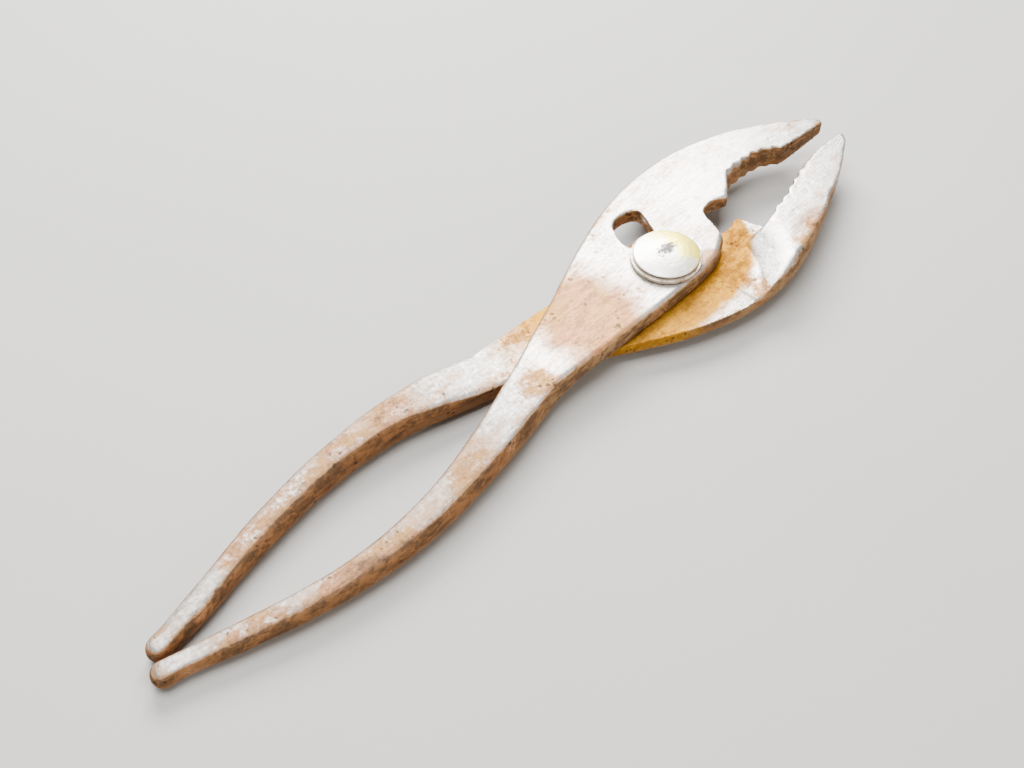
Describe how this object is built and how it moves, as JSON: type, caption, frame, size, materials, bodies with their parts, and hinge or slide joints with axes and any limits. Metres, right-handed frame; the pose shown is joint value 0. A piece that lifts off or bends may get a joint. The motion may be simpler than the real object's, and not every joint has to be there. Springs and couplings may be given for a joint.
{
  "type": "slip-joint pliers",
  "caption": "Steel slip-joint combination pliers with blunt serrated nose, toothed pipe grip, shear notch and bowed handles on a slotted pivot.",
  "frame": {"origin": "on the pivot axis, at the outer face of the bolt's threaded end, which is level with the nut's outer face", "axes": "+X to the jaw tips, +Y to the outer side of the front lever's jaw, +Z along the pivot from the nut to the bolt head"},
  "size_m": [0.201, 0.0434, 0.013],
  "materials": {
    "rusty_steel": "worn forged steel with orange rust on the joint recess and sides",
    "worn_steel": "worn grey forged steel with pinkish brown rust patches",
    "bolt_steel": "worn smooth, straw yellow tint",
    "washer_steel": "thin steel, brown rust",
    "nut_steel": "rusty plain steel"
  },
  "bodies": {
    "back": {"back_lever": "rusty_steel", "pivot_bolt": "bolt_steel", "pivot_nut": "nut_steel"},
    "washer": {"pivot_washer": "washer_steel"},
    "front": {"front_lever": "worn_steel"}
  },
  "joints": [
    {"name": "jaw_opening", "type": "hinge", "parent": "back", "child": "washer", "pos_m": [0, 0, 0.0065], "axis": [0, 0, 1], "range_deg": [0, 45]},
    {"name": "slip", "type": "hinge", "parent": "washer", "child": "front", "pos_m": [0.10216, -0.01402, 0.0065], "axis": [0, 0, 1], "range_deg": [0, 6.4]}
  ]
}
